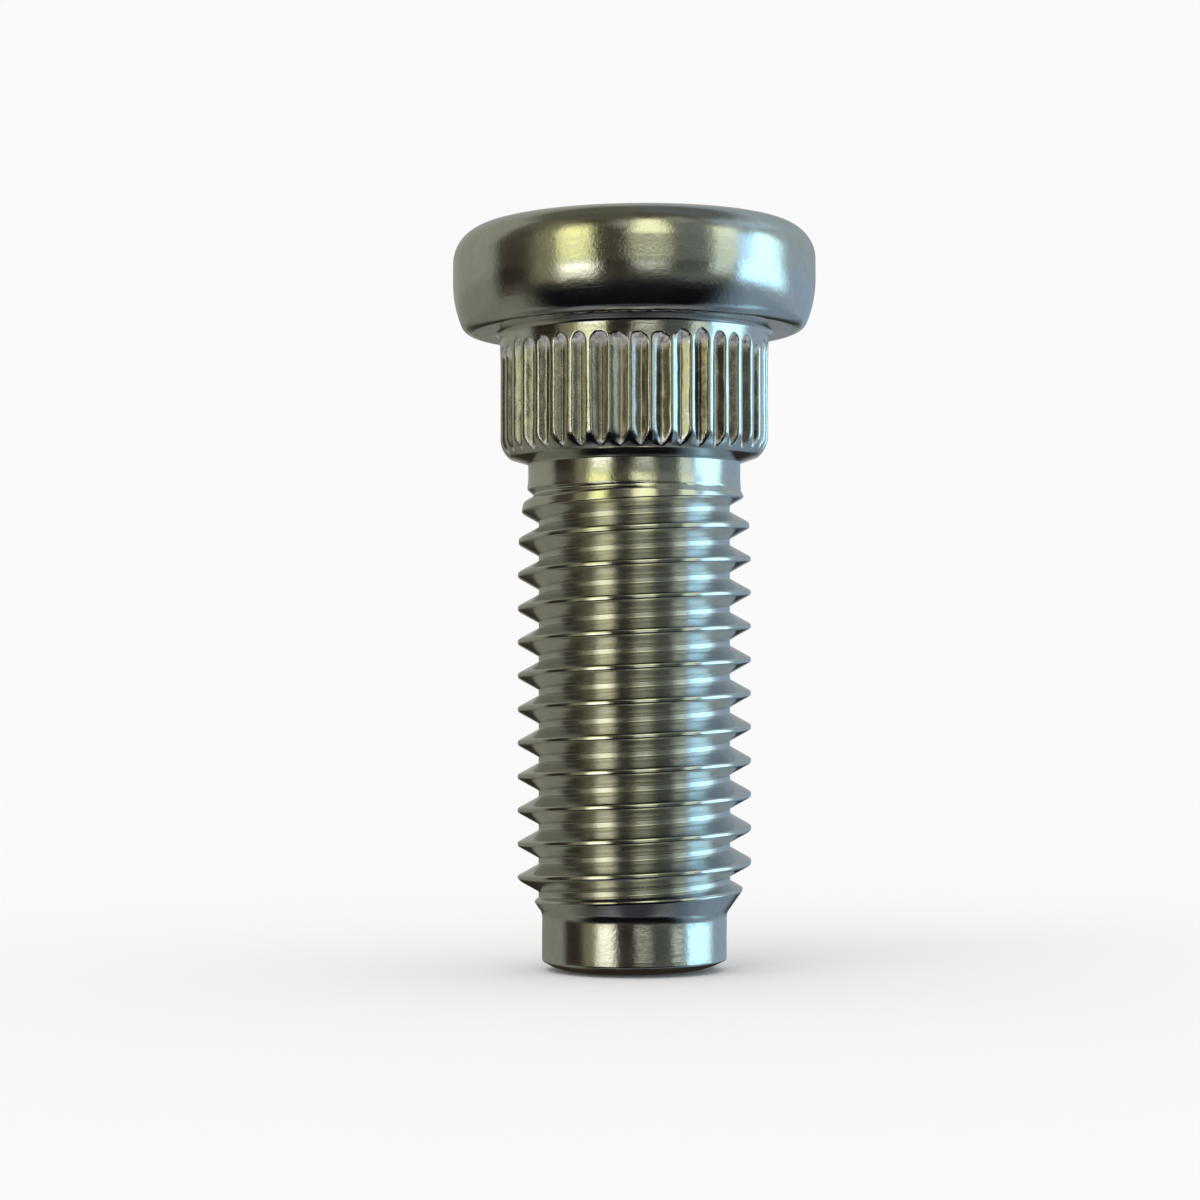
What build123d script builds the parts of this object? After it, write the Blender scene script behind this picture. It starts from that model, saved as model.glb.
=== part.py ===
from build123d import *
import math
import os

# Press-in wheel stud, one cold-forged and thread-rolled piece.
# Millimetres. The stud's axis is Z. z = 0 is the seat plane under the head, the
# shank points to -Z and the head's crown to +Z. The stud stands on its flat point.

# ---- head -------------------------------------------------------------------
HEAD_R = 10.85            # largest radius of the head
HEAD_TOP_Z = 6.50         # flat crown above the seat plane
HEAD_CROWN_R = 40.0       # large blend from the flat crown
HEAD_SHOULDER_R = 2.13    # upper edge rounding
HEAD_WAIST_Z = 4.24       # upper end of the largest diameter
HEAD_BAND_Z = 3.10        # lower end of the largest diameter
HEAD_BARREL_R = 7.0       # barrel below the largest diameter
HEAD_LOWER_R = 0.80       # lower edge rounding into the seat
SEAT_FILLET_R = 0.30      # fillet from the seat into the plain collar
COLLAR_R = 8.05           # plain collar between the seat and the serrations

# ---- serrated shoulder ------------------------------------------------------
KNURL_R = 8.00            # radius over the serrations
COLLAR_LOW = (8.03, -0.90)    # the collar narrows to here, then to KNURL_R
KNURL_TOP_Z = -1.95       # the shoulder is full size below this
KNURL_RUN_Z = -1.50       # the serrations start to run out here, towards the head
KNURL_RUN_END_Z = -0.86   # and end here, each in a rounded cap
KNURL_COUNT = 41          # number of V serrations
KNURL_LAND = 0.34         # width left on each crest
KNURL_PHASE_DEG = -87.1   # direction of one groove
KNURL_ROUND_R = 1.55      # rounding at the lower end
KNURL_ROUND_Z = -6.30     # where that rounding starts
KNURL_CORNER_Z = -7.50    # lower corner of the shoulder
KNURL_FACE_R = 6.50       # end of the lower face
KNURL_FACE_Z = -7.80

# ---- neck (the rolled blank's own diameter) ---------------------------------
NECK_R = 6.35
NECK_FILLET_Z = -7.95     # where the shoulder's fillet meets the neck
NECK_END_Z = -9.44        # edge left by the thread-rolling die
NECK_RAMP = 0.60          # axial length of that edge's slope

# ---- thread M14 x 2.0, right hand -------------------------------------------
PITCH = 2.0
MAJOR_R = 6.95
ROOT_R = 5.69
CREST_FLAT = PITCH / 8
THREAD_TOP_Z = -9.20      # THREAD_LOW_Z plus THREAD_TURNS pitches
RUNOUT = [(-9.20, 6.22), (-9.80, 6.52), (-10.60, 6.70), (-11.60, 6.87), (-13.60, MAJOR_R)]
GROOVE_Z_AT_X = -36.54    # height of the groove's centre where it crosses +X, lowest turn
THREAD_LOW_Z = -35.20     # the thread is built up from here, one turn at a time
THREAD_TURNS = 13
CONE_TOP_Z = -32.50       # lead-in cone, where it leaves the major radius
CONE_BOTTOM = (5.66, -34.36)

# ---- point ------------------------------------------------------------------
POINT_R = 5.50
POINT_TOP_Z = -34.92      # end of the fillet from the cone
POINT_ROUND_Z = -37.42    # the sheared end is rounded off from here
TIP_R = 3.60              # radius of the flat the stud stands on
TIP_Z = -38.00


def arc_mid(cx, cz, r, a0, a1):
    a = math.radians((a0 + a1) / 2)
    return (cx + r * math.cos(a), cz + r * math.sin(a))


def arc_edge(p0, mid, p1):
    return ThreePointArc((p0[0], 0, p0[1]), (mid[0], 0, mid[1]), (p1[0], 0, p1[1]))


def line_edge(p0, p1):
    return Line((p0[0], 0, p0[1]), (p1[0], 0, p1[1]))


def angle(cx, cz, p):
    return math.degrees(math.atan2(p[1] - cz, p[0] - cx))


def revolved(edges):
    wire = Wire(edges)
    return revolve(Face(wire), Axis.Z, 360)


# ---- head, serrated shoulder blank and neck, one turned outline -------------
# upper edge: crown blend of radius HEAD_CROWN_R tangent to the flat, then
# HEAD_SHOULDER_R tangent to it and to the widest diameter
c1z = HEAD_TOP_Z - HEAD_CROWN_R
c2 = (HEAD_R - HEAD_SHOULDER_R, HEAD_WAIST_Z)
# the crown flat's edge is placed so that the two arcs are tangent
need = HEAD_CROWN_R - HEAD_SHOULDER_R
c1 = (c2[0] - math.sqrt(need**2 - (c2[1] - c1z) ** 2), c1z)
top_flat_r = c1[0]
u = ((c2[0] - c1[0]) / need, (c2[1] - c1[1]) / need)
join_top = (c2[0] + u[0] * HEAD_SHOULDER_R, c2[1] + u[1] * HEAD_SHOULDER_R)
waist = (HEAD_R, HEAD_WAIST_Z)
band = (HEAD_R, HEAD_BAND_Z)

# lower edge: barrel arc tangent to the widest diameter, then a small round into the seat
c3 = (HEAD_R - HEAD_BARREL_R, HEAD_BAND_Z)
c4x = c3[0] + math.sqrt((HEAD_BARREL_R - HEAD_LOWER_R) ** 2 - (HEAD_BAND_Z - HEAD_LOWER_R) ** 2)
c4 = (c4x, HEAD_LOWER_R)
v = ((c4[0] - c3[0]) / (HEAD_BARREL_R - HEAD_LOWER_R), (c4[1] - c3[1]) / (HEAD_BARREL_R - HEAD_LOWER_R))
join_low = (c3[0] + v[0] * HEAD_BARREL_R, c3[1] + v[1] * HEAD_BARREL_R)
seat_outer = (c4x, 0.0)

# fillet from the seat into the collar
c5 = (COLLAR_R + SEAT_FILLET_R, -SEAT_FILLET_R)
seat_inner = (c5[0], 0.0)
collar_top = (COLLAR_R, -SEAT_FILLET_R)
knurl_top = (KNURL_R, KNURL_TOP_Z)

# lower rounding of the shoulder
c6 = (KNURL_R - KNURL_ROUND_R, KNURL_ROUND_Z)
knurl_low = (KNURL_R, KNURL_ROUND_Z)
dz = KNURL_CORNER_Z - KNURL_ROUND_Z
corner = (c6[0] + math.sqrt(KNURL_ROUND_R**2 - dz**2), KNURL_CORNER_Z)
face_end = (KNURL_FACE_R, KNURL_FACE_Z)
neck_top = (NECK_R, NECK_FILLET_Z)
# the fillet from the shoulder's lower face into the neck
neck_mid = (NECK_R + 0.295 * (KNURL_FACE_R - NECK_R), NECK_FILLET_Z + 0.62 * (KNURL_FACE_Z - NECK_FILLET_Z))

upper = revolved([
    line_edge((0, NECK_END_Z - NECK_RAMP), (0, HEAD_TOP_Z)),
    line_edge((0, HEAD_TOP_Z), (top_flat_r, HEAD_TOP_Z)),
    arc_edge((top_flat_r, HEAD_TOP_Z), arc_mid(*c1, HEAD_CROWN_R, 90, angle(*c1, join_top)), join_top),
    arc_edge(join_top, arc_mid(*c2, HEAD_SHOULDER_R, angle(*c2, join_top), 0), waist),
    line_edge(waist, band),
    arc_edge(band, arc_mid(*c3, HEAD_BARREL_R, 0, angle(*c3, join_low)), join_low),
    arc_edge(join_low, arc_mid(*c4, HEAD_LOWER_R, angle(*c4, join_low), -90), seat_outer),
    line_edge(seat_outer, seat_inner),
    arc_edge(seat_inner, arc_mid(*c5, SEAT_FILLET_R, 90, 180), collar_top),
    line_edge(collar_top, COLLAR_LOW),
    line_edge(COLLAR_LOW, knurl_top),
    line_edge(knurl_top, knurl_low),
    arc_edge(knurl_low, arc_mid(*c6, KNURL_ROUND_R, 0, angle(*c6, corner)), corner),
    line_edge(corner, face_end),
    arc_edge(face_end, neck_mid, neck_top),
    line_edge(neck_top, (NECK_R, NECK_END_Z)),
    line_edge((NECK_R, NECK_END_Z), (ROOT_R - 0.04, NECK_END_Z - NECK_RAMP)),
    line_edge((ROOT_R - 0.04, NECK_END_Z - NECK_RAMP), (0, NECK_END_Z - NECK_RAMP)),
])

# ---- serrations: V grooves that run out under the head ----------------------
pitch_w = 2 * math.pi * KNURL_R / KNURL_COUNT
depth = (pitch_w - KNURL_LAND) / 2          # 90 degree grooves
knurl_root_r = KNURL_R - depth
OUT_R = KNURL_R + 0.70


def groove_section(z, r):
    w = OUT_R - r
    return Face(Wire.make_polygon([(r, 0, z), (OUT_R, w, z), (OUT_R, -w, z)], close=True))


# height and depth of the groove's bottom along the run-out, a quarter of an ellipse
runout_steps = [(KNURL_CORNER_Z - 1.0, knurl_root_r), (KNURL_RUN_Z, knurl_root_r)]
for t in (0.40, 0.65, 0.83, 0.94):
    runout_steps.append((KNURL_RUN_Z + t * (KNURL_RUN_END_Z - KNURL_RUN_Z), knurl_root_r + depth * (1 - math.sqrt(1 - t * t))))
runout_steps += [(KNURL_RUN_END_Z, knurl_root_r + depth + 0.03), (KNURL_RUN_END_Z + 0.02, knurl_root_r + depth + 0.10)]
groove = Solid.make_loft([groove_section(z, r).outer_wire() for z, r in runout_steps], ruled=True)
grooves = [groove.rotate(Axis.Z, KNURL_PHASE_DEG + 360.0 * k / KNURL_COUNT) for k in range(KNURL_COUNT)]
upper = upper.cut(*grooves)

# ---- threaded shank and point, turned outline -------------------------------
c7 = (POINT_R, POINT_TOP_Z)
# the end's rounding is tangent to the flat
tip_rise = POINT_ROUND_Z - TIP_Z
tip_round = ((POINT_R - TIP_R) ** 2 + tip_rise**2) / (2 * tip_rise)
c8 = (TIP_R, TIP_Z + tip_round)
tip_mid = arc_mid(*c8, tip_round, angle(*c8, (POINT_R, POINT_ROUND_Z)), -90)
fillet_mid = (POINT_R + 0.045, (POINT_TOP_Z + CONE_BOTTOM[1]) / 2 + 0.02)
edges = [line_edge((0, TIP_Z), (0, THREAD_TOP_Z)), line_edge((0, THREAD_TOP_Z), (RUNOUT[0][1], THREAD_TOP_Z))]
for (z0, r0), (z1, r1) in zip(RUNOUT, RUNOUT[1:]):
    edges.append(line_edge((r0, z0), (r1, z1)))
edges += [
    line_edge((MAJOR_R, RUNOUT[-1][0]), (MAJOR_R, CONE_TOP_Z)),
    line_edge((MAJOR_R, CONE_TOP_Z), CONE_BOTTOM),
    arc_edge(CONE_BOTTOM, fillet_mid, c7),
    line_edge(c7, (POINT_R, POINT_ROUND_Z)),
    arc_edge((POINT_R, POINT_ROUND_Z), tip_mid, (TIP_R, TIP_Z)),
    line_edge((TIP_R, TIP_Z), (0, TIP_Z)),
]
blank = revolved(edges)

# ---- the rolled thread: 60 degree flanks, rounded root, crest at MAJOR_R -----
# The section square to the axis is the same at every height and turns once a
# pitch. A height h above the groove's centre is the angle 360 * h / PITCH.
flank = math.tan(math.radians(30))
apex_r = MAJOR_R - (PITCH - CREST_FLAT) / 2 / flank
root_round = ROOT_R - apex_r
tan_h = root_round * math.cos(math.radians(30))
over_r = MAJOR_R + 0.10
over_h = (over_r - apex_r) * flank


def thread_point(h, r=None):
    if r is None:
        if abs(h) >= tan_h:
            r = apex_r + abs(h) / flank
        else:
            r = apex_r + 2 * root_round - math.sqrt(root_round**2 - h * h)
    a = math.radians(360 * h / PITCH)
    return (r * math.cos(a), r * math.sin(a), 0)


def thread_section():
    rise = [tan_h + (over_h - tan_h) * i / 14 for i in range(15)]
    dip = [-tan_h + 2 * tan_h * i / 8 for i in range(9)]
    return Face(Wire([
        Spline(*[thread_point(h) for h in dip]),
        Spline(*[thread_point(h) for h in rise]),
        ThreePointArc(thread_point(over_h), thread_point(PITCH / 2, over_r), thread_point(-over_h)),
        Spline(*[thread_point(-h) for h in reversed(rise)]),
    ]))


def thread_length(z, length):
    turn = 360.0 * (z - GROOVE_Z_AT_X) / PITCH
    face = thread_section().rotate(Axis.Z, turn % 360).moved(Location((0, 0, z)))
    return Solid.extrude_linear_with_rotation(face, (0, 0, z), (0, 0, length), 360.0 * length / PITCH)


def only_solid(shape):
    found = shape.solids() if hasattr(shape, "solids") else shape
    assert len(found) == 1, f"{len(found)} solids"
    return found[0]


turns = [only_solid(thread_length(THREAD_LOW_Z + i * PITCH, PITCH).intersect(blank)) for i in range(THREAD_TURNS)]
below = Solid.make_box(40, 40, 20, Plane((-20, -20, THREAD_LOW_Z - 20)))
shank = only_solid(only_solid(blank.intersect(below)).fuse(*turns))
print("shank", shank.is_valid, round(shank.volume, 2))

stud = only_solid(upper.fuse(shank))

print("volume", round(stud.volume, 2), "valid", stud.is_valid, "faces", len(stud.faces()))
print("box", stud.bounding_box())
print("groove root radius", round(knurl_root_r, 3), "crown flat radius", round(top_flat_r, 3),
      "seat annulus", round(seat_inner[0], 3), round(seat_outer[0], 3))

stud.label = "wheel_stud"
os.makedirs("parts", exist_ok=True)
export_step(stud, "parts/wheel_stud.step")
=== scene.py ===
import math

import bpy
import numpy as np
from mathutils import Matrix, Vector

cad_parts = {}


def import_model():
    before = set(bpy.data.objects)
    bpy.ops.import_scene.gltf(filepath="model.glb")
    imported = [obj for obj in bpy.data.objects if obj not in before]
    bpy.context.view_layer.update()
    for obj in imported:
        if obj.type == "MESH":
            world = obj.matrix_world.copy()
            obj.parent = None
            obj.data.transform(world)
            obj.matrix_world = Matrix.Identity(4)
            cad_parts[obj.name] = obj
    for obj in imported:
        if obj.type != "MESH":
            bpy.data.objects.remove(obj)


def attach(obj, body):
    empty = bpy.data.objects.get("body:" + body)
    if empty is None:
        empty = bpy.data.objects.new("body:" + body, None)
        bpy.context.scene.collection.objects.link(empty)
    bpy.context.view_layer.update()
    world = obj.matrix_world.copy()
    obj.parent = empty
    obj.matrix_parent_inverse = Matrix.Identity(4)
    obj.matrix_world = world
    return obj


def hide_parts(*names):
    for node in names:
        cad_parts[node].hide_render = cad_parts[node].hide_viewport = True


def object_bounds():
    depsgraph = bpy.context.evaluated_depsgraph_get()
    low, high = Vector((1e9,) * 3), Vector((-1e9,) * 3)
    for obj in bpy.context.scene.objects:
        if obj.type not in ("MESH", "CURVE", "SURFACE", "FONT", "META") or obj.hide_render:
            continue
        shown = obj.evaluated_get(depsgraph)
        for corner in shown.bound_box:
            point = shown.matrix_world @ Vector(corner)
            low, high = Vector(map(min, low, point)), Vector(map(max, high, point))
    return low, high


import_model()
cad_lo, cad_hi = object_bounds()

# A press-in wheel stud. The mesh is worked out in millimetres in the CAD frame: axis Z,
# z = 0 at the seat under the head, crown towards +Z, flat point towards -Z.
MM = 0.001
rng = np.random.RandomState(41)

# ---- driving dimensions, those of the CAD part ---------------------------------------
HEAD_R, HEAD_TOP_Z = 10.85, 6.50
HEAD_CROWN_R, HEAD_SHOULDER_R, HEAD_WAIST_Z, HEAD_BAND_Z = 40.0, 2.13, 4.24, 3.10
HEAD_BARREL_R, HEAD_LOWER_R = 7.0, 0.80
HEAD_OUT_OF_SQUARE_DEG = 0.65            # the forged head leans a little, low on the -X side
KNURL_R, COLLAR_R, COLLAR_LOW, SEAT_FILLET_R = 8.00, 8.05, (8.03, -0.90), 0.30
KNURL_RUN_Z, KNURL_RUN_END_Z = -1.50, -0.86
KNURL_COUNT, KNURL_LAND, KNURL_PHASE_DEG = 41, 0.34, -87.1
KNURL_ROUND_R, KNURL_ROUND_Z, KNURL_CORNER_Z = 1.55, -6.30, -7.50
KNURL_FACE_R, KNURL_FACE_Z = 6.50, -7.80
NECK_R, NECK_FILLET_Z, NECK_END_Z, NECK_RAMP = 6.35, -7.95, -9.44, 0.60
PITCH, MAJOR_R, ROOT_R = 2.0, 6.95, 5.69
CREST_FLAT = PITCH / 8
RUNOUT = [(-9.20, 6.22), (-9.80, 6.52), (-10.60, 6.70), (-11.60, 6.87), (-13.60, MAJOR_R)]
GROOVE_Z_AT_X = -36.54
CONE_TOP_Z, CONE_BOTTOM = -32.50, (5.66, -34.36)
POINT_R, POINT_TOP_Z, POINT_ROUND_Z = 5.50, -34.92, -37.42
TIP_R, TIP_Z = 3.60, -38.00


# ---- small tools -----------------------------------------------------------------------
def soft_min(a, b, k):
    h = np.clip(0.5 + 0.5 * (b - a) / k, 0, 1)
    return b + (a - b) * h - k * h * (1 - h)


def soft_max(a, b, k):
    return -soft_min(-a, -b, k)


def arc_points(cx, cz, r, a0, a1, n):
    return [(cx + r * math.cos(math.radians(a)), cz + r * math.sin(math.radians(a))) for a in np.linspace(a0, a1, n)]


class Noise:
    """Smooth 3-D value noise on a fixed lattice, about -1 to 1."""

    def __init__(self, seed):
        self.t = np.random.RandomState(seed).rand(32, 32, 32) * 2 - 1

    def __call__(self, x, y, z):
        p = np.stack(np.broadcast_arrays(x, y, z), -1).astype(float)
        i = np.floor(p).astype(int)
        f = p - i
        f = f * f * (3 - 2 * f)
        out = 0
        for dx in (0, 1):
            for dy in (0, 1):
                for dz in (0, 1):
                    w = (f[..., 0] if dx else 1 - f[..., 0]) * (f[..., 1] if dy else 1 - f[..., 1]) * (f[..., 2] if dz else 1 - f[..., 2])
                    out = out + w * self.t[(i[..., 0] + dx) % 32, (i[..., 1] + dy) % 32, (i[..., 2] + dz) % 32]
        return out


noise_a, noise_b, noise_c = Noise(3), Noise(7), Noise(11)


class Net:
    """A growing mesh of rings round the Z axis."""

    def __init__(self):
        self.v, self.f, self.wear, self.cut = [], [], [], []
        self.n = 0

    # wear is 1 on rubbed edges and crests; cut is 1 in the pressed grooves, 0 elsewhere
    def add(self, pts, wear=0.0, cut=0.0):
        pts = np.asarray(pts, float)
        k = self.n
        self.v.append(pts)
        self.wear.append(np.broadcast_to(np.asarray(wear, float), (len(pts),)))
        self.cut.append(np.broadcast_to(np.asarray(cut, float), (len(pts),)))
        self.n += len(pts)
        return np.arange(k, k + len(pts))

    def quads(self, upper, lower):
        """Between two rings with the same columns, upper nearer the head."""
        n = len(upper)
        for i in range(n):
            j = (i + 1) % n
            q = [upper[i], lower[i], lower[j], upper[j]]
            self.face(q)

    def face(self, q):
        out = []
        for x in q:
            if not out or x != out[-1]:
                out.append(int(x))
        if len(out) > 1 and out[0] == out[-1]:
            out.pop()
        if len(set(out)) == len(out) and len(out) >= 3:
            self.f.append(out)

    def stitch(self, upper, au, lower, al):
        """Between two rings with different columns, whose angles rise from the same start."""
        nu, nl = len(upper), len(lower)
        i = j = 0
        au = np.r_[au, au[0] + 2 * math.pi]
        al = np.r_[al, al[0] + 2 * math.pi]
        while i < nu or j < nl:
            if j >= nl or (i < nu and au[i + 1] <= al[j + 1]):
                self.face([upper[i], lower[j % nl], upper[(i + 1) % nu]])
                i += 1
            else:
                self.face([upper[i % nu], lower[j], lower[(j + 1) % nl]])
                j += 1

    def fan(self, centre, ring, up):
        n = len(ring)
        for i in range(n):
            j = (i + 1) % n
            self.f.append([int(centre), int(ring[i]), int(ring[j])] if up else [int(centre), int(ring[j]), int(ring[i])])


def ring_xyz(r, a, z):
    r, a, z = np.broadcast_arrays(r, a, z)
    return np.stack([r * np.cos(a), r * np.sin(a), z], -1)


net = Net()

# ---- head: a forged, rounded disc ------------------------------------------------------
c2 = (HEAD_R - HEAD_SHOULDER_R, HEAD_WAIST_Z)
c1z = HEAD_TOP_Z - HEAD_CROWN_R
need = HEAD_CROWN_R - HEAD_SHOULDER_R
c1 = (c2[0] - math.sqrt(need**2 - (c2[1] - c1z) ** 2), c1z)
join_a = math.degrees(math.atan2(c2[1] - c1[1], c2[0] - c1[0]))
c3 = (HEAD_R - HEAD_BARREL_R, HEAD_BAND_Z)
c4x = c3[0] + math.sqrt((HEAD_BARREL_R - HEAD_LOWER_R) ** 2 - (HEAD_BAND_Z - HEAD_LOWER_R) ** 2)
c4 = (c4x, HEAD_LOWER_R)
low_a = math.degrees(math.atan2(c4[1] - c3[1], c4[0] - c3[0]))
c5 = (COLLAR_R + SEAT_FILLET_R, -SEAT_FILLET_R)

outline = [(r, HEAD_TOP_Z) for r in (1.4, 2.8, 4.0, 5.0)]
outline += arc_points(*c1, HEAD_CROWN_R, 90, join_a, 7)
outline += arc_points(*c2, HEAD_SHOULDER_R, join_a, 0, 20)[1:]
outline += [(HEAD_R, z) for z in (3.9, 3.5)]
outline += arc_points(*c3, HEAD_BARREL_R, 0, low_a, 12)
outline += arc_points(*c4, HEAD_LOWER_R, low_a, -90, 9)[1:]
outline += [(c4x - 0.12, 0.0)]

HEAD_COLS = 192
ha = np.arange(HEAD_COLS) * 2 * math.pi / HEAD_COLS
top_centre = net.add([[0, 0, HEAD_TOP_Z]])[0]
previous = None
for r, z in outline:
    # forging is a little out of true: long, faint waves, fading to nothing on the seat
    x, y = r * np.cos(ha), r * np.sin(ha)
    fade = np.clip((z - 0.2) / 1.0, 0, 1)
    dr = 0.010 * noise_a(x * 0.30 + 5, y * 0.30 + 5, z * 0.45 + 5) * fade * min(1, r / 6)
    dz = 0.006 * noise_b(x * 0.35 + 9, y * 0.35 + 9, 3.3) * (1 if z > 6.0 else 0)
    ring = net.add(ring_xyz(np.minimum(r + dr, HEAD_R), ha, np.minimum(z + dz - 0.003 * (z > 6.5), HEAD_TOP_Z)))
    if previous is None:
        net.fan(top_centre, ring, True)
    else:
        net.quads(previous, ring)
    previous = ring
head_last = previous

# ---- serrated shoulder -------------------------------------------------------------------
period = 2 * math.pi / KNURL_COUNT
KNURL_SLOPE = 1.0                            # flanks at 45 degrees
LEAN_FROM = 0.14                             # how far across a land its edge begins to fall away
depth = (2 * math.pi * KNURL_R / KNURL_COUNT - KNURL_LAND) / 2
KNURL_ROOT_R = KNURL_R - depth * KNURL_SLOPE
half = math.degrees(period) / 2
steps = [0.0, 0.5, 1.3, 2.0, 2.55, 2.95, 3.35, 3.8]
offsets = np.radians(np.array([-s for s in reversed(steps[1:])] + steps + [half]))
per = len(offsets)
phase = math.radians(KNURL_PHASE_DEG)
groove_no = np.repeat(np.arange(KNURL_COUNT), per)
delta = np.tile(offsets, KNURL_COUNT)
ka = phase + groove_no * period + delta
# where the head's rings start, so that the two sets of columns can be stitched
turn = int(np.argmin(np.abs((ka % (2 * math.pi)))))
order = np.roll(np.arange(len(ka)), -turn)
groove_no, delta, ka = groove_no[order], delta[order], ka[order] % (2 * math.pi)
if ka[0] > math.pi:
    ka[0] -= 2 * math.pi

# every groove was pressed a little differently
g_depth = rng.uniform(-0.05, 0.05, KNURL_COUNT)
g_shift = np.radians(rng.uniform(-0.30, 0.30, KNURL_COUNT))
g_slope = rng.uniform(-0.015, 0.015, KNURL_COUNT)
g_top = rng.uniform(-0.20, 0.16, KNURL_COUNT)
g_skew = rng.uniform(-0.09, 0.09, KNURL_COUNT)
# the left of the shoulder was pressed roughly; on the right the edges of the lands were smeared over
g_az = (KNURL_PHASE_DEG + np.arange(KNURL_COUNT + 1) * math.degrees(period) + 90 + 180) % 360 - 180
g_lean = np.where(g_az > -8, np.clip(38 - g_az, 3, 25), 6) + rng.uniform(-3.5, 3.5, KNURL_COUNT + 1)
g_lean = np.tan(np.radians(np.maximum(g_lean, 1.5)))
g_rough = np.clip((12 - g_az[:-1]) / 35, 0, 1) * (g_az[:-1] > -165)
# how much painted shade each groove gets, as a darker olive-brown laid into its base colour
g_groove_shade = np.where(g_az[:-1] > -8, rng.choice([0.42, 0.55, 0.8, 1.0, 1.0], KNURL_COUNT), rng.uniform(0.45, 0.8, KNURL_COUNT))
g_blunt = 0.05 + g_rough * rng.uniform(0.03, 0.16, KNURL_COUNT)     # how round the bottom is

k_corner_r = KNURL_R - KNURL_ROUND_R + math.sqrt(KNURL_ROUND_R**2 - (KNURL_CORNER_Z - KNURL_ROUND_Z) ** 2)


def knurl_blank(z):
    if z > -SEAT_FILLET_R:
        return c5[0] - math.sqrt(max(SEAT_FILLET_R**2 - (z + SEAT_FILLET_R) ** 2, 0))
    if z > -1.95:
        return float(np.interp(z, [-1.95, COLLAR_LOW[1], -SEAT_FILLET_R], [KNURL_R, COLLAR_LOW[0], COLLAR_R]))
    if z > KNURL_ROUND_Z:
        return KNURL_R
    if z > KNURL_CORNER_Z:
        return KNURL_R - KNURL_ROUND_R + math.sqrt(KNURL_ROUND_R**2 - (z - KNURL_ROUND_Z) ** 2)
    return k_corner_r


def groove_root(z, top):
    # the groove rises to the collar in a quarter of an ellipse, which gives it a rounded cap
    t = np.clip((z - top - KNURL_RUN_Z) / (KNURL_RUN_END_Z - KNURL_RUN_Z), 0, 1)
    past = np.maximum(z - top - KNURL_RUN_END_Z, 0)
    return KNURL_ROOT_R + depth * KNURL_SLOPE * (1 - np.sqrt(1 - t * t)) + past * 3


def knurl_ring(z):
    blank = knurl_blank(z)
    top = g_top[groove_no]
    root = groove_root(z, top) + g_depth[groove_no] + g_slope[groove_no] * (z + 4.5) / 3
    d = delta + g_shift[groove_no]
    d = np.where(np.abs(d) < 1e-6, 1e-6, d)
    slope = KNURL_SLOPE * (1 + g_skew[groove_no] * np.sign(d))
    blunt = g_blunt[groove_no]
    w = np.sqrt((slope * np.sin(d)) ** 2 + (blunt / KNURL_R) ** 2)
    groove = (root - 0.6 * (blunt - 0.05)) / (np.cos(d) - w)
    x, y = KNURL_R * np.cos(ka), KNURL_R * np.sin(ka)
    grit = 0.016 * noise_b(x * 4.5, y * 4.5, z * 2.4) + 0.018 * noise_c(x * 2.6, y * 2.6, z * 1.1)
    rounding = 0.11 + 0.04 * noise_a(x * 0.9 + 3, y * 0.9 + 3, z * 0.5)
    across = (delta - np.where(delta > 0, 1, -1) * period / 2) * KNURL_R + KNURL_LAND / 2
    land = blank - np.maximum(across - LEAN_FROM, 0) * g_lean[groove_no + (delta > 0)] * np.clip((-0.9 - z) / 0.3, 0, 1) * np.clip((z + 7.4) / 0.4, 0, 1)
    r = soft_min(land, groove + grit, rounding)
    r = np.minimum(r + 0.006, blank)
    wear = np.clip((r - (blank - 0.14)) / 0.12, 0, 1)
    cap = np.clip((z - top - KNURL_RUN_Z + 0.25) / 0.4, 0, 1)
    pressed = np.clip((blank - r - 0.02) / 0.12, 0, 1) * (0.65 + 0.35 * cap)
    pressed = np.maximum(pressed, cap * np.clip((blank - r - 0.003) / 0.03, 0, 1))
    end = np.clip((-6.75 - z) / 0.30, 0, 1) * np.clip((z + 7.46) / 0.1, 0, 1) * np.clip((blank + 0.12 - groove) / 0.12, 0, 1)
    pressed = np.maximum(pressed, 0.85 * end)
    # painted shade: the base colour is darkened in the grooves, the deeper the groove the darker, but not on the caps
    # or at the bottom corner
    groove_shade.append(np.clip(pressed / 0.65, 0, 1) * g_groove_shade[groove_no] * (1 - cap) * (1 - end))
    return net.add(ring_xyz(r, ka, z), wear, pressed)


# per-vertex strength of the painted shade in the grooves
groove_shade = []
fillet_z = [-0.01, -0.045, -0.10, -0.17, -0.25, -0.34, -0.52]
zs = [-0.66, -0.76, -0.83, -0.89, -0.94, -0.99, -1.05, -1.13, -1.23, -1.36, -1.53, -1.75, -1.97]
zs += list(np.linspace(-2.3, -6.05, 12))
zs += [-6.30, -6.50, -6.68, -6.84, -6.98, -7.10, -7.20, -7.29, -7.37, -7.44, -7.50]

seat_inner = net.add(ring_xyz(c5[0], ka, 0.0))
groove_shade_from = net.n
net.stitch(head_last, ha, seat_inner, ka)
previous = seat_inner
for z in fillet_z + zs:
    ring = knurl_ring(z)
    net.quads(previous, ring)
    previous = ring

# the shoulder's lower face, down to the neck's fillet
for t in (0.12, 0.5, 0.88, 1.0):
    r = k_corner_r + (KNURL_FACE_R - k_corner_r) * t
    z = KNURL_CORNER_Z + (KNURL_FACE_Z - KNURL_CORNER_Z) * t
    ring = net.add(ring_xyz(r, ka, z))
    net.quads(previous, ring)
    previous = ring
knurl_last = previous

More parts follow.
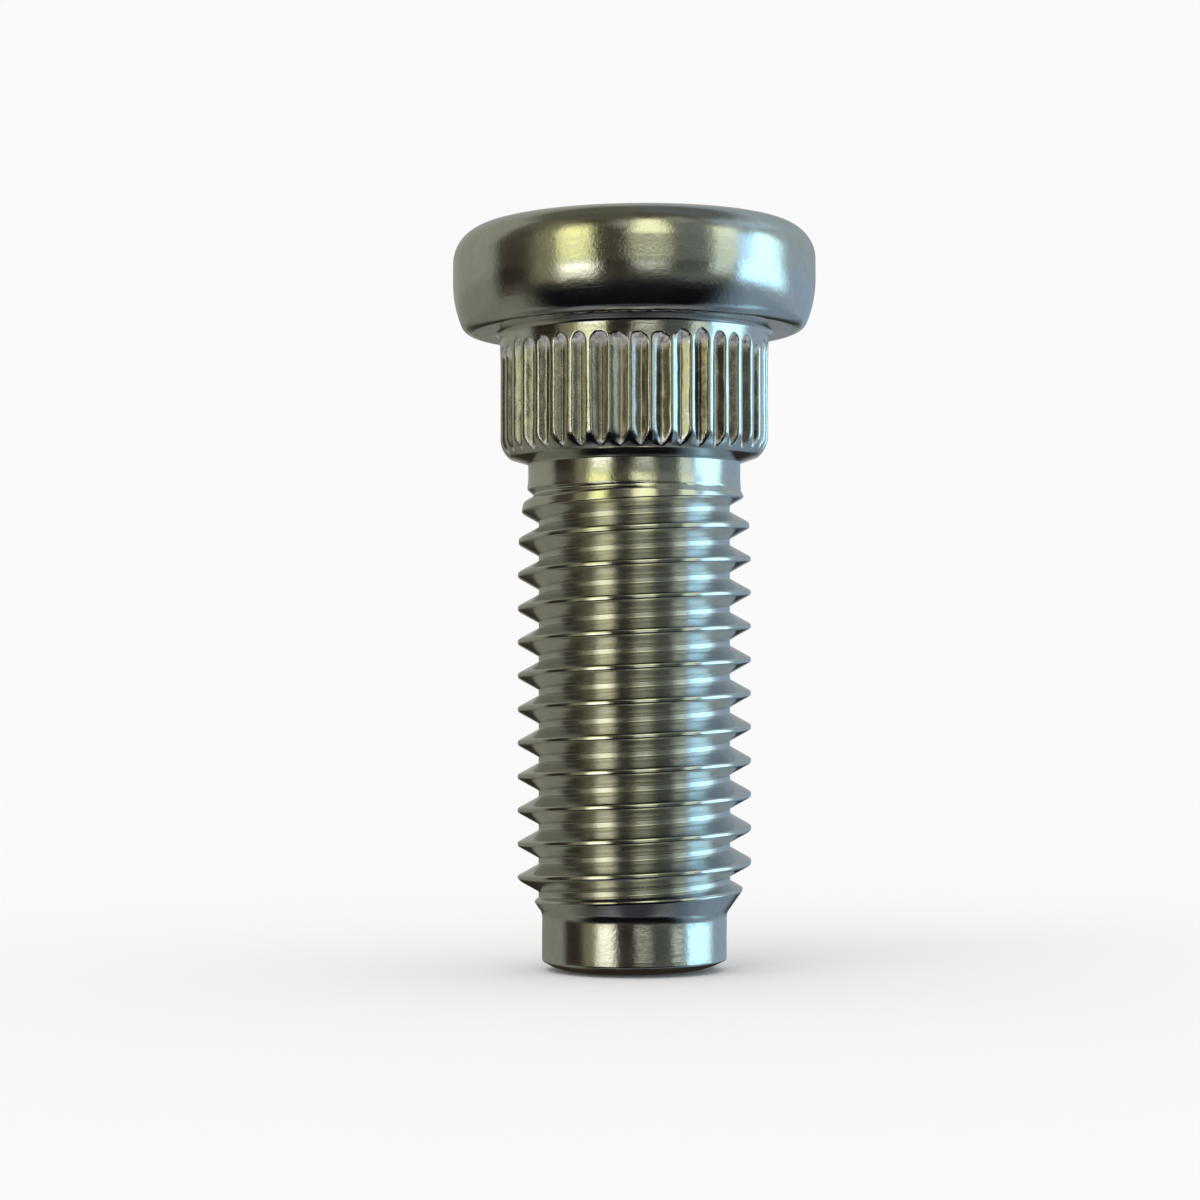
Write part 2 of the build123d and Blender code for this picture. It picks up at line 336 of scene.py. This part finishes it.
# ---- neck ------------------------------------------------------------------------------
COLS = 150
ta = np.arange(COLS) * 2 * math.pi / COLS
neck = [(NECK_R + 0.085, KNURL_FACE_Z - 0.025), (NECK_R + 0.035, KNURL_FACE_Z - 0.065), (NECK_R + 0.008, KNURL_FACE_Z - 0.11),
        (NECK_R - 0.006, NECK_FILLET_Z), (NECK_R - 0.012, -8.15), (NECK_R - 0.018, -8.40), (NECK_R - 0.018, -8.62),
        (NECK_R - 0.012, -8.80), (NECK_R - 0.002, -8.97), (NECK_R + 0.012, -9.12), (NECK_R + 0.026, -9.27), (NECK_R + 0.036, NECK_END_Z + 0.04)]
first = True
for r, z in neck:
    x, y = r * np.cos(ta), r * np.sin(ta)
    dr = 0.012 * noise_a(x * 0.6 + 2, y * 0.6 + 2, z * 1.3)
    ring = net.add(ring_xyz(r + dr, ta, z))
    if first:
        net.stitch(knurl_last, ka, ring, ta)
        first = False
    else:
        net.quads(previous, ring)
    previous = ring

# ---- rolled thread -----------------------------------------------------------------------
flank = math.tan(math.radians(29))      # a degree steeper than the part's, for the look of it only
apex_r = MAJOR_R - (PITCH - CREST_FLAT) / 2 / flank


def thread_r(s):
    """Radius of the thread form at the axial distance s from the middle of its groove."""
    s = np.abs((s + PITCH / 2) % PITCH - PITCH / 2)
    return soft_max(apex_r + s / flank, ROOT_R, 0.03)


def envelope(z):
    zs_ = [CONE_BOTTOM[1], CONE_TOP_Z] + [p[0] for p in reversed(RUNOUT)]
    rs_ = [CONE_BOTTOM[0], MAJOR_R] + [p[1] for p in reversed(RUNOUT)]
    return np.interp(z, zs_, rs_)


def shank_r(a, z):
    s = z - (GROOVE_Z_AT_X + PITCH * a / (2 * math.pi))
    x, y = 6.5 * np.cos(a), 6.5 * np.sin(a)
    crest = envelope(z) + 0.010 * noise_b(x * 1.1, y * 1.1, z * 0.8) + 0.005 * noise_c(x * 4.0, y * 4.0, z * 2.0) - 0.006
    form = thread_r(s)
    r = soft_min(form, crest, 0.14)
    neck_cone = NECK_R + (ROOT_R - 0.04 - NECK_R) * (NECK_END_Z - z) / NECK_RAMP
    r = np.where(z > NECK_END_Z - NECK_RAMP, soft_max(r, neck_cone, 0.03), r)
    wear = np.clip((r - (crest - 0.10)) / 0.09, 0, 1)
    return np.minimum(r + 0.016, MAJOR_R), wear


TOP, BOTTOM = NECK_END_Z, CONE_BOTTOM[1]
half_rows = [0.11, 0.15, 0.19, 0.26, 0.44, 0.58, 0.71, 0.78, 0.83, 0.87, 0.91, 0.955]
profile = sorted([-h for h in half_rows] + [0.0] + half_rows + [1.0])
n_prof = len(profile)
turns = range(-1, 15)
# rows from the head downwards; at column i every row is shifted by the helix
row_s = sorted([GROOVE_Z_AT_X + PITCH * k + h for k in turns for h in profile], reverse=True)
grid_z = np.array(row_s)[None, :] + (PITCH * ta / (2 * math.pi))[:, None]
grid_z = np.where(grid_z > TOP - 0.02, TOP, grid_z)
grid_z = np.where(grid_z < BOTTOM + 0.02, BOTTOM, grid_z)
rr, ww = shank_r(ta[:, None], grid_z)
index = np.full(grid_z.shape, -1, int)
for i in range(COLS):
    last_z = None
    for j in range(len(row_s)):
        z = grid_z[i, j]
        if last_z is not None and abs(z - last_z) < 1e-9:
            index[i, j] = index[i, j - 1]
            continue
        index[i, j] = net.add(ring_xyz(np.array([rr[i, j]]), ta[i], z), ww[i, j])[0]
        last_z = z
for i in range(COLS):
    wrap = i == COLS - 1
    k = (i + 1) % COLS
    shift = n_prof if wrap else 0       # one turn round, the same helix line is a pitch higher
    for j in range(len(row_s) - 1):
        a, b = j, j + 1
        a2, b2 = (j - shift, j + 1 - shift)
        if a2 < 0 or b2 < 0:
            continue
        net.face([index[i, a], index[i, b], index[k, b2], index[k, a2]])
ring_top = index[:, 0]
ring_low = index[:, -1]
net.quads(previous, ring_top)
previous = ring_low

# ---- point ---------------------------------------------------------------------------------
# the sheared end is rounded off and a little out of square
tip_rise = POINT_ROUND_Z - TIP_Z
tip_round = ((POINT_R - TIP_R) ** 2 + tip_rise**2) / (2 * tip_rise)
c8 = (TIP_R, TIP_Z + tip_round)
tip_a = math.degrees(math.atan2(POINT_ROUND_Z - c8[1], POINT_R - c8[0]))
point = [(5.60, -34.45), (5.555, -34.56), (5.525, -34.68), (5.507, -34.80), (POINT_R, POINT_TOP_Z), (POINT_R, -35.3), (POINT_R, -36.0), (POINT_R, -36.6),
         (POINT_R, -37.0)]
point += arc_points(POINT_R - 0.15, POINT_ROUND_Z + 0.087, 0.15, 0, -54, 4)
point += arc_points(*c8, tip_round, tip_a - 3, -90, 8) + [(2.6, TIP_Z), (1.3, TIP_Z)]
for r, z in point:
    x, y = r * np.cos(ta), r * np.sin(ta)
    dr = 0.012 * noise_a(x * 0.5 + 4, y * 0.5 + 4, z * 0.8) * (z < -34.9) * (z > -37.9)
    ring = net.add(ring_xyz(r + dr - 0.006, ta, z), 1.0 if -37.5 < z < -37.3 else 0.0)
    net.quads(previous, ring)
    previous = ring
tip_centre = net.add([[0, 0, TIP_Z]])[0]
net.fan(tip_centre, previous, False)

# ---- the mesh -----------------------------------------------------------------------------
co = np.concatenate(net.v)
# the head is a little out of square with the shank; the lean dies out down the serrated shoulder
lean = math.tan(math.radians(HEAD_OUT_OF_SQUARE_DEG)) * np.clip((co[:, 2] + 9.0) / 1.9, 0, 1) * co[:, 0]
co[:, 2] += lean
low = np.clip((-37.1 - co[:, 2]) / 0.5, 0, 1)
co[:, 2] += math.tan(math.radians(0.8)) * np.maximum(co[:, 0] + 3.0, 0) * low
# the crown is scaled down so that it rises no higher than the part's top
top = co[:, 2] > 0
co[top, 2] *= np.minimum(1.0, HEAD_TOP_Z / co[:, 2].max())
co *= MM
wear = np.concatenate(net.wear)
cut = np.concatenate(net.cut)
# painted shade in the grooves, one value per vertex, zero off the serrations
groove_shade_all = np.zeros(net.n)
groove_shade_all[groove_shade_from:groove_shade_from + sum(len(q) for q in groove_shade)] = np.concatenate(groove_shade)
# the thread's flanks are burnished by the rolling dies
rolled = np.clip((-9.5 - co[:, 2] / MM) / 0.4, 0, 1) * np.clip((co[:, 2] / MM + 34.0) / 0.4, 0, 1)
groove_s = co[:, 2] / MM - GROOVE_Z_AT_X - PITCH * np.arctan2(co[:, 1], co[:, 0]) / (2 * math.pi)
root = np.clip(1.25 - np.abs((groove_s + PITCH / 2) % PITCH - PITCH / 2) / 0.30, 0, 1) * rolled
side_az = np.degrees(np.arctan2(co[:, 0], -co[:, 1]))
coarse = 0.22 + 0.78 * np.clip((14 - side_az) / 35, 0, 1) * (side_az > -165)
grainy = coarse * np.clip((-0.75 - co[:, 2] / MM) / 0.4, 0, 1) * np.clip((co[:, 2] / MM + 7.55) / 0.1, 0, 1)
mesh = bpy.data.meshes.new("stud")
mesh.from_pydata(co.tolist(), [], net.f)
mesh.update()


def area_normals(mesh):
    """Vertex normals weighted by face area, so that flats stay flat beside their small edge roundings."""
    n = len(mesh.vertices)
    v = np.zeros(n * 3)
    mesh.vertices.foreach_get("co", v)
    v = v.reshape(-1, 3)
    mesh.calc_loop_triangles()
    t = np.zeros(len(mesh.loop_triangles) * 3, int)
    mesh.loop_triangles.foreach_get("vertices", t)
    t = t.reshape(-1, 3)
    fn = np.cross(v[t[:, 1]] - v[t[:, 0]], v[t[:, 2]] - v[t[:, 0]])
    out = np.zeros((n, 3))
    for k in range(3):
        for c in range(3):
            out[:, c] += np.bincount(t[:, k], fn[:, c], n)
    return out / np.maximum(np.linalg.norm(out, axis=1, keepdims=True), 1e-30)


mesh.polygons.foreach_set("use_smooth", [True] * len(mesh.polygons))
attribute = mesh.attributes.new("crest", "FLOAT", "POINT")
attribute.data.foreach_set("value", wear.astype(np.float32))
attribute = mesh.attributes.new("cut", "FLOAT", "POINT")
attribute.data.foreach_set("value", cut.astype(np.float32))
attribute = mesh.attributes.new("rolled", "FLOAT", "POINT")
attribute.data.foreach_set("value", rolled.astype(np.float32))
# painted shade in the grooves, read by the material's base colour
attribute = mesh.attributes.new("groove_shade", "FLOAT", "POINT")
attribute.data.foreach_set("value", groove_shade_all.astype(np.float32))
attribute = mesh.attributes.new("root", "FLOAT", "POINT")
attribute.data.foreach_set("value", root.astype(np.float32))
attribute = mesh.attributes.new("grainy", "FLOAT", "POINT")
attribute.data.foreach_set("value", grainy.astype(np.float32))
mesh.normals_split_custom_set_from_vertices(area_normals(mesh).tolist())
stud = bpy.data.objects.new("stud_one_piece", mesh)
bpy.context.scene.collection.objects.link(stud)


# ---- bright clear zinc plate ------------------------------------------------------------------
def zinc():
    m = bpy.data.materials.new("zinc_plated_steel")
    m.use_nodes = True
    nt = m.node_tree
    nt.nodes.clear()
    out = nt.nodes.new("ShaderNodeOutputMaterial")
    b = nt.nodes.new("ShaderNodeBsdfPrincipled")
    nt.links.new(b.outputs["BSDF"], out.inputs["Surface"])
    b.inputs["Metallic"].default_value = 1.0
    tc = nt.nodes.new("ShaderNodeTexCoord")
    co = tc.outputs["Object"]

    def scaled(s):
        mp = nt.nodes.new("ShaderNodeMapping")
        mp.inputs["Scale"].default_value = s
        nt.links.new(co, mp.inputs["Vector"])
        return mp.outputs["Vector"]

    def noise(vec, scale, detail=4.0, rough=0.55):
        n = nt.nodes.new("ShaderNodeTexNoise")
        n.inputs["Scale"].default_value = scale
        n.inputs["Detail"].default_value = detail
        n.inputs["Roughness"].default_value = rough
        nt.links.new(vec, n.inputs["Vector"])
        return n.outputs["Fac"]

    def remap(x, a, b_, c, d):
        n = nt.nodes.new("ShaderNodeMapRange")
        n.inputs["From Min"].default_value, n.inputs["From Max"].default_value = a, b_
        n.inputs["To Min"].default_value, n.inputs["To Max"].default_value = c, d
        nt.links.new(x, n.inputs["Value"])
        return n.outputs["Result"]

    def math_(op, x, y):
        n = nt.nodes.new("ShaderNodeMath")
        n.operation = op
        for k, q in enumerate((x, y)):
            if isinstance(q, (int, float)):
                n.inputs[k].default_value = q
            else:
                nt.links.new(q, n.inputs[k])
        return n.outputs[0]

    def attribute_(name):
        n = nt.nodes.new("ShaderNodeAttribute")
        n.attribute_name = name
        return n.outputs["Fac"]

    crest, cut, rolled, root, grainy = (attribute_(q) for q in ("crest", "cut", "rolled", "root", "grainy"))

    base = scaled((1000, 1000, 1000))          # texture space in millimetres
    cloud = noise(base, 0.35, 5.0, 0.6)
    stain = noise(base, 1.6, 6.0, 0.65)
    fine = noise(base, 9.0, 4.0, 0.6)
    ramp = nt.nodes.new("ShaderNodeValToRGB")
    ramp.color_ramp.elements[0].position, ramp.color_ramp.elements[1].position = 0.34, 0.66
    ramp.color_ramp.elements[0].color = (0.68, 0.67, 0.64, 1)
    ramp.color_ramp.elements[1].color = (0.785, 0.785, 0.78, 1)
    nt.links.new(math_("ADD", math_("MULTIPLY", cloud, 0.5), math_("MULTIPLY", stain, 0.5)), ramp.inputs["Fac"])
    # painted shade: the base colour is darkened towards olive-brown down in the pressed grooves, more where they are
    # deeper, broken up by the stain noise
    shade_mix = nt.nodes.new("ShaderNodeMix")
    shade_mix.data_type = "RGBA"
    nt.links.new(math_("MULTIPLY", attribute_("groove_shade"), remap(stain, 0.35, 0.65, 0.6, 1.0)), shade_mix.inputs["Factor"])
    nt.links.new(ramp.outputs["Color"], shade_mix.inputs[6])
    shade_mix.inputs[7].default_value = (0.12, 0.10, 0.082, 1)
    nt.links.new(shade_mix.outputs[2], b.inputs["Base Color"])

    # where the punch lifted out of the groove the film is thick and dull
    mottle = remap(noise(base, 5.0, 3.0, 0.6), 0.40, 0.60, 0.12, 0.68)
    nt.links.new(math_("SUBTRACT", 1.0, math_("MULTIPLY", remap(cut, 0.66, 0.95, 0.0, 1.0), mottle)), b.inputs["Metallic"])
    rough = math_("ADD", remap(cloud, 0.3, 0.7, 0.11, 0.17), remap(fine, 0.3, 0.75, 0.0, 0.05))
    rough = math_("ADD", rough, math_("MULTIPLY", remap(cut, 0.0, 0.65, 0.0, 1.0), remap(grainy, 0.2, 1.0, 0.01, 0.11)))
    rough = math_("ADD", rough, remap(cut, 0.65, 1.0, 0.0, 0.22))
    rough = math_("ADD", rough, math_("MULTIPLY", root, 0.08))
    rough = math_("SUBTRACT", rough, math_("MULTIPLY", crest, 0.02))
    nt.links.new(rough, b.inputs["Roughness"])

    # plating grain, a fine orange peel and a few rubbed scratches
    scratch = noise(scaled((260, 260, 3200)), 1.0, 2.0, 0.5)
    height = math_("ADD", math_("MULTIPLY", fine, 0.0018), math_("MULTIPLY", noise(base, 4.6, 4.0, 0.62), 0.0058))
    height = math_("ADD", height, math_("MULTIPLY", noise(base, 1.5, 2.0, 0.5), 0.0080))
    height = math_("ADD", height, math_("MULTIPLY", remap(scratch, 0.60, 0.72, 0.0, 1.0), 0.0016))
    bump = nt.nodes.new("ShaderNodeBump")
    bump.inputs["Strength"].default_value = 1.0
    bump.inputs["Distance"].default_value = 0.001
    height = math_("MULTIPLY", height, remap(rolled, 0.0, 1.0, 1.0, 0.35))
    # the serrations were pressed cold and are grainy
    grain = math_("ADD", math_("MULTIPLY", fine, 0.0060), math_("MULTIPLY", noise(scaled((3600, 3600, 2100)), 1.0, 3.0, 0.6), 0.0100))
    height = math_("ADD", height, math_("MULTIPLY", grain, grainy))
    nt.links.new(height, bump.inputs["Height"])
    nt.links.new(bump.outputs["Normal"], b.inputs["Normal"])
    return m


mesh.materials.append(zinc())
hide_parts("wheel_stud")
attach(stud, "root")

# ---- floor ---------------------------------------------------------------------------------
floor_mesh = bpy.data.meshes.new("floor")
size = 6.0
floor_z = cad_lo.z
ring_n = 96
fv = [(0, 0, floor_z)]
ff = []
radii = [0.05, 0.2, 0.8, size]
for r in radii:
    for i in range(ring_n):
        a = 2 * math.pi * i / ring_n
        fv.append((r * math.cos(a), r * math.sin(a), floor_z))
for i in range(ring_n):
    ff.append((0, 1 + i, 1 + (i + 1) % ring_n))
for k in range(len(radii) - 1):
    for i in range(ring_n):
        j = (i + 1) % ring_n
        a, b = 1 + k * ring_n, 1 + (k + 1) * ring_n
        ff.append((a + i, b + i, b + j, a + j))
floor_mesh.from_pydata(fv, [], ff)
floor_mesh.update()
floor = bpy.data.objects.new("floor", floor_mesh)
bpy.context.scene.collection.objects.link(floor)
fm = bpy.data.materials.new("pale_floor")
fm.use_nodes = True
fb = fm.node_tree.nodes["Principled BSDF"]
fb.inputs["Base Color"].default_value = (0.90, 0.90, 0.90, 1)
fb.inputs["Roughness"].default_value = 0.9
fb.inputs["Specular IOR Level"].default_value = 0.0
floor_mesh.materials.append(fm)
floor.visible_glossy = False


# ---- light ------------------------------------------------------------------------------------
def world():
    w = bpy.data.worlds.new("studio")
    bpy.context.scene.world = w
    w.use_nodes = True
    nt = w.node_tree
    nt.nodes.clear()
    L = nt.links.new
    out = nt.nodes.new("ShaderNodeOutputWorld")

    def math_(op, x, y=None, z=None):
        n = nt.nodes.new("ShaderNodeMath")
        n.operation = op
        for k, q in enumerate((x, y, z)):
            if q is None:
                continue
            if isinstance(q, (int, float)):
                n.inputs[k].default_value = q
            else:
                L(q, n.inputs[k])
        return n.outputs[0]

    def up(x, at, soft):
        n = nt.nodes.new("ShaderNodeMapRange")
        n.interpolation_type = "SMOOTHSTEP"
        n.inputs["From Min"].default_value, n.inputs["From Max"].default_value = at - soft, at + soft
        n.inputs["To Min"].default_value, n.inputs["To Max"].default_value = 0.0, 1.0
        L(x, n.inputs["Value"])
        return n.outputs["Result"]

    def down(x, at, soft):
        return math_("SUBTRACT", 1.0, up(x, at, soft))

    def both(*ms):
        m = ms[0]
        for q in ms[1:]:
            m = math_("MULTIPLY", m, q)
        return m

    def span(x, lo, ls, hi, hs):
        return both(up(x, lo, ls), down(x, hi, hs))

    def slant(k, el0):
        """Azimuth with an edge that leans: an edge at 0 here moves by k per degree of elevation."""
        return math_("SUBTRACT", az, math_("MULTIPLY", math_("SUBTRACT", el, el0), k))

    def rgb(c, k=1.0):
        return tuple(GAIN * k * q for q in c)

    def mix(fac, a, b):
        n = nt.nodes.new("ShaderNodeMix")
        n.data_type = "RGBA"
        for sock, q in ((n.inputs["Factor"], fac), (n.inputs[6], a), (n.inputs[7], b)):
            if isinstance(q, tuple):
                sock.default_value = (*q, 1.0)
            elif isinstance(q, (int, float)):
                sock.default_value = q
            else:
                L(q, sock)
        return n.outputs[2]

    GAIN = 1.25
    tc = nt.nodes.new("ShaderNodeTexCoord")
    xyz = nt.nodes.new("ShaderNodeSeparateXYZ")
    L(tc.outputs["Generated"], xyz.inputs[0])
    x, y, z = xyz.outputs
    # degrees: azimuth 0 on the camera's side and positive towards +X, elevation from the horizon
    az = math_("MULTIPLY", math_("ARCTAN2", x, math_("MULTIPLY", y, -1.0)), 180 / math.pi)
    el = math_("MULTIPLY", math_("ARCSINE", z), 180 / math.pi)
    az_abs = math_("ABSOLUTE", az)
    right_side = up(az, 0.0, 60.0)

    # room: dull olive on the left, cool grey on the right, both meeting softly behind
    colour = mix(right_side, rgb((0.225, 0.235, 0.185)), rgb((0.265, 0.33, 0.35)))
    colour = mix(up(az, 150.0, 14.0), colour, rgb((0.25, 0.29, 0.305)))
    colour = mix(down(az, -150.0, 14.0), colour, rgb((0.265, 0.28, 0.245)))
    colour = mix(both(down(az, 0.0, 30.0), span(el, -14.0, 3.0, 2.5, 3.0)), colour, rgb((0.185, 0.190, 0.155)))
    colour = mix(both(up(az, 40.0, 30.0), span(el, -8.0, 4.0, 7.0, 4.0)), colour, rgb((0.235, 0.315, 0.40)))
    under = mix(right_side, rgb((0.155, 0.16, 0.125)), rgb((0.17, 0.235, 0.29)))
    deep = mix(right_side, rgb((0.05, 0.05, 0.04)), rgb((0.08, 0.11, 0.13)))
    colour = mix(down(el, -12.0, 4.0), colour, under)
    colour = mix(down(el, -52.0, 8.0), colour, deep)
    over = mix(right_side, rgb((0.085, 0.085, 0.055)), rgb((0.09, 0.10, 0.10)))
    colour = mix(up(el, 54.0, 6.0), colour, over)
    # a lit wall straight behind the subject
    colour = mix(both(up(az_abs, 172.0, 3.0), span(el, -5.0, 3.0, 38.0, 10.0)), colour, rgb((0.38, 0.38, 0.35)))

    # the photographer's side is dark
    dark = mix(up(az, 26.0, 6.0), rgb((0.045, 0.036, 0.024)), rgb((0.12, 0.135, 0.115)))
    dark = mix(both(span(az, -90.0, 5.0, -50.0, 6.0), up(el, 38.0, 14.0)), dark, rgb((0.11, 0.10, 0.06)))
    dark = mix(both(span(az, -20.0, 3.0, -4.0, 3.0), up(el, 38.0, 5.0)), dark, rgb((0.13, 0.13, 0.10)))
    low_dark = mix(up(az, 26.0, 6.0), rgb((0.017, 0.013, 0.009)), rgb((0.050, 0.058, 0.050)))
    dark = mix(span(el, -8.0, 2.0, 6.5, 2.5), dark, low_dark)
    colour = mix(both(span(az, -97.0, 6.0, 66.0, 4.0), span(el, -15.0, 3.0, 60.0, 5.0)), colour, dark)
    colour = mix(both(span(az, -95.0, 8.0, 66.0, 8.0), up(el, 60.0, 5.0)), colour, rgb((0.072, 0.068, 0.045)))
    colour = mix(both(span(az, -74.0, 13.0, 67.0, 17.0), down(el, -13.0, 4.0)), colour, (0.004, 0.004, 0.006))
    colour = mix(down(el, -64.0, 6.0), colour, rgb((0.15, 0.155, 0.16)))
    colour = mix(both(down(el, -62.0, 5.0), span(az, -42.0, 22.0, 55.0, 22.0)), colour, rgb((0.030, 0.033, 0.040)))

    colour = mix(both(up(az_abs, 158.0, 12.0), span(el, -64.0, 4.0, -9.0, 3.0)), colour, rgb((0.022, 0.017, 0.012)))

    def light(colour, m, c, k=1.0):
        return mix(m, colour, rgb(c, k))

    # warm soft box on the left
    colour = light(colour, both(span(az, -66.0, 6.0, -45.0, 4.0), span(el, -10.0, 4.0, 52.0, 8.0)), (0.17, 0.160, 0.095))
    colour = light(colour, both(span(slant(-0.12, 10.0), -48.0, 4.0, -27.5, 4.0), span(el, 2.0, 1.5, 40.0, 14.0)), (1.05, 1.05, 0.46))
    colour = light(colour, both(span(slant(-0.12, 10.0), -48.0, 4.0, -27.5, 4.0), span(el, 2.0, 1.2, 8.0, 2.0)), (0.50, 0.52, 0.30))
    colour = light(colour, both(span(az, -47.5, 3.5, -24.5, 3.5), span(el, -11.0, 2.0, 2.8, 1.2)), (0.82, 0.79, 0.60))
    colour = light(colour, both(span(az, -45.0, 3.5, -26.0, 3.5), span(el, -4.0, 1.5, 2.5, 1.5)), (1.58, 1.55, 1.30))
    colour = light(colour, both(span(az, -11.0, 1.5, -6.0, 1.5), span(el, 30.0, 4.0, 56.0, 6.0)), (0.29, 0.29, 0.25))
    # white soft box in the middle
    colour = light(colour, both(up(slant(0.06, 35.0), -1.3, 4.0), down(slant(0.02, 35.0), 22.5, 4.5), span(el, 10.0, 5.0, 59.0, 8.0)), (1.02, 1.03, 0.62))
    colour = light(colour, both(span(az, -2.0, 3.0, 24.0, 3.0), span(el, 4.0, 1.5, 12.0, 8.0)), (0.22, 0.23, 0.17))
    colour = light(colour, both(span(az, 1.0, 2.5, 20.0, 4.0), span(el, -2.6, 1.2, 2.6, 1.2)), (0.72, 0.73, 0.60))
    colour = light(colour, both(span(az, 2.0, 3.0, 24.0, 4.0), span(el, -9.0, 1.5, -3.5, 1.5)), (0.19, 0.19, 0.155))
    colour = light(colour, both(span(az, 30.0, 4.0, 50.0, 4.0), span(el, 46.0, 4.0, 66.0, 4.0)), (0.19, 0.21, 0.15))
    # pale green card and the blue window on the right
    colour = light(colour, both(span(slant(0.12, 10.0), 50.5, 3.0, 69.0, 4.0), span(el, -5.5, 2.5, 9.0, 3.0)), (0.54, 0.64, 0.54))
    colour = light(colour, both(span(slant(0.12, 10.0), 50.5, 3.0, 69.0, 4.0), span(el, 9.0, 3.0, 36.0, 8.0)), (0.74, 0.83, 0.62))
    colour = light(colour, both(span(az, 69.0, 4.0, 88.0, 4.0), span(el, -7.0, 3.0, 22.0, 6.0)), (0.44, 0.70, 0.93))
    core = both(up(slant(0.35, 2.0), 76.0, 3.0), up(az, 74.0, 3.0), down(slant(-0.40, 2.0), 107.0, 8.0), span(el, -6.5, 3.0, 26.0, 9.0))
    colour = light(colour, core, (0.68, 1.06, 1.12), 1.3)
    colour = light(colour, both(span(az, 69.5, 2.5, 100.0, 8.0), span(el, -7.0, 2.5, 7.0, 4.0)), (0.84, 1.50, 1.98))
    colour = light(colour, both(span(az, 63.5, 1.5, 68.5, 1.5), span(el, -5.0, 2.0, 5.0, 2.0)), (0.17, 0.23, 0.24))
    # the window's lower pane
    colour = light(colour, both(span(az, 85.0, 3.0, 104.0, 4.0), span(el, -44.0, 4.0, -25.0, 3.0)), (0.31, 0.54, 0.66))
    colour = light(colour, both(span(az, 90.0, 4.0, 125.0, 6.0), span(el, 34.0, 3.0, 46.0, 3.0)), (0.34, 0.45, 0.52))

    path = nt.nodes.new("ShaderNodeLightPath")
    bg_gloss, bg_soft, bg_cam = (nt.nodes.new("ShaderNodeBackground") for _ in range(3))
    L(colour, bg_gloss.inputs["Color"])
    bg_gloss.inputs["Strength"].default_value = 1.0
    bg_soft.inputs["Color"].default_value = (1.0, 1.0, 1.0, 1)
    bg_soft.inputs["Strength"].default_value = 0.936
    bg_cam.inputs["Color"].default_value = (0.955, 0.955, 0.955, 1)
    bg_cam.inputs["Strength"].default_value = 1.0
    m1, m2 = nt.nodes.new("ShaderNodeMixShader"), nt.nodes.new("ShaderNodeMixShader")
    L(path.outputs["Is Glossy Ray"], m1.inputs[0])
    L(bg_soft.outputs[0], m1.inputs[1])
    L(bg_gloss.outputs[0], m1.inputs[2])
    L(path.outputs["Is Camera Ray"], m2.inputs[0])
    L(m1.outputs[0], m2.inputs[1])
    L(bg_cam.outputs[0], m2.inputs[2])
    L(m2.outputs[0], out.inputs["Surface"])


world()

sun_data = bpy.data.lights.new("key", "SUN")
sun_data.energy = 0.5
sun_data.angle = math.radians(45)
sun = bpy.data.objects.new("key", sun_data)
sun.rotation_euler = (math.radians(38), 0, math.radians(-35))
bpy.context.scene.collection.objects.link(sun)
sun.visible_glossy = False

# ---- camera -----------------------------------------------------------------------------------
cam_data = bpy.data.cameras.new("camera")
cam_data.lens = 84.4
cam_data.sensor_width = 36.0
cam = bpy.data.objects.new("camera", cam_data)
cam.location = (0.0, -0.168, -0.02137)
cam.rotation_euler = (math.radians(90 + 1.832), 0, math.radians(0.698))
cam_data.clip_start, cam_data.clip_end = 0.001, 20.0
bpy.context.scene.collection.objects.link(cam)
bpy.context.scene.camera = cam

bpy.context.scene.view_settings.view_transform = "Standard"
bpy.context.scene.view_settings.look = "None"
bpy.context.scene.view_settings.exposure = 0.0
bpy.context.scene.view_settings.gamma = 1.0
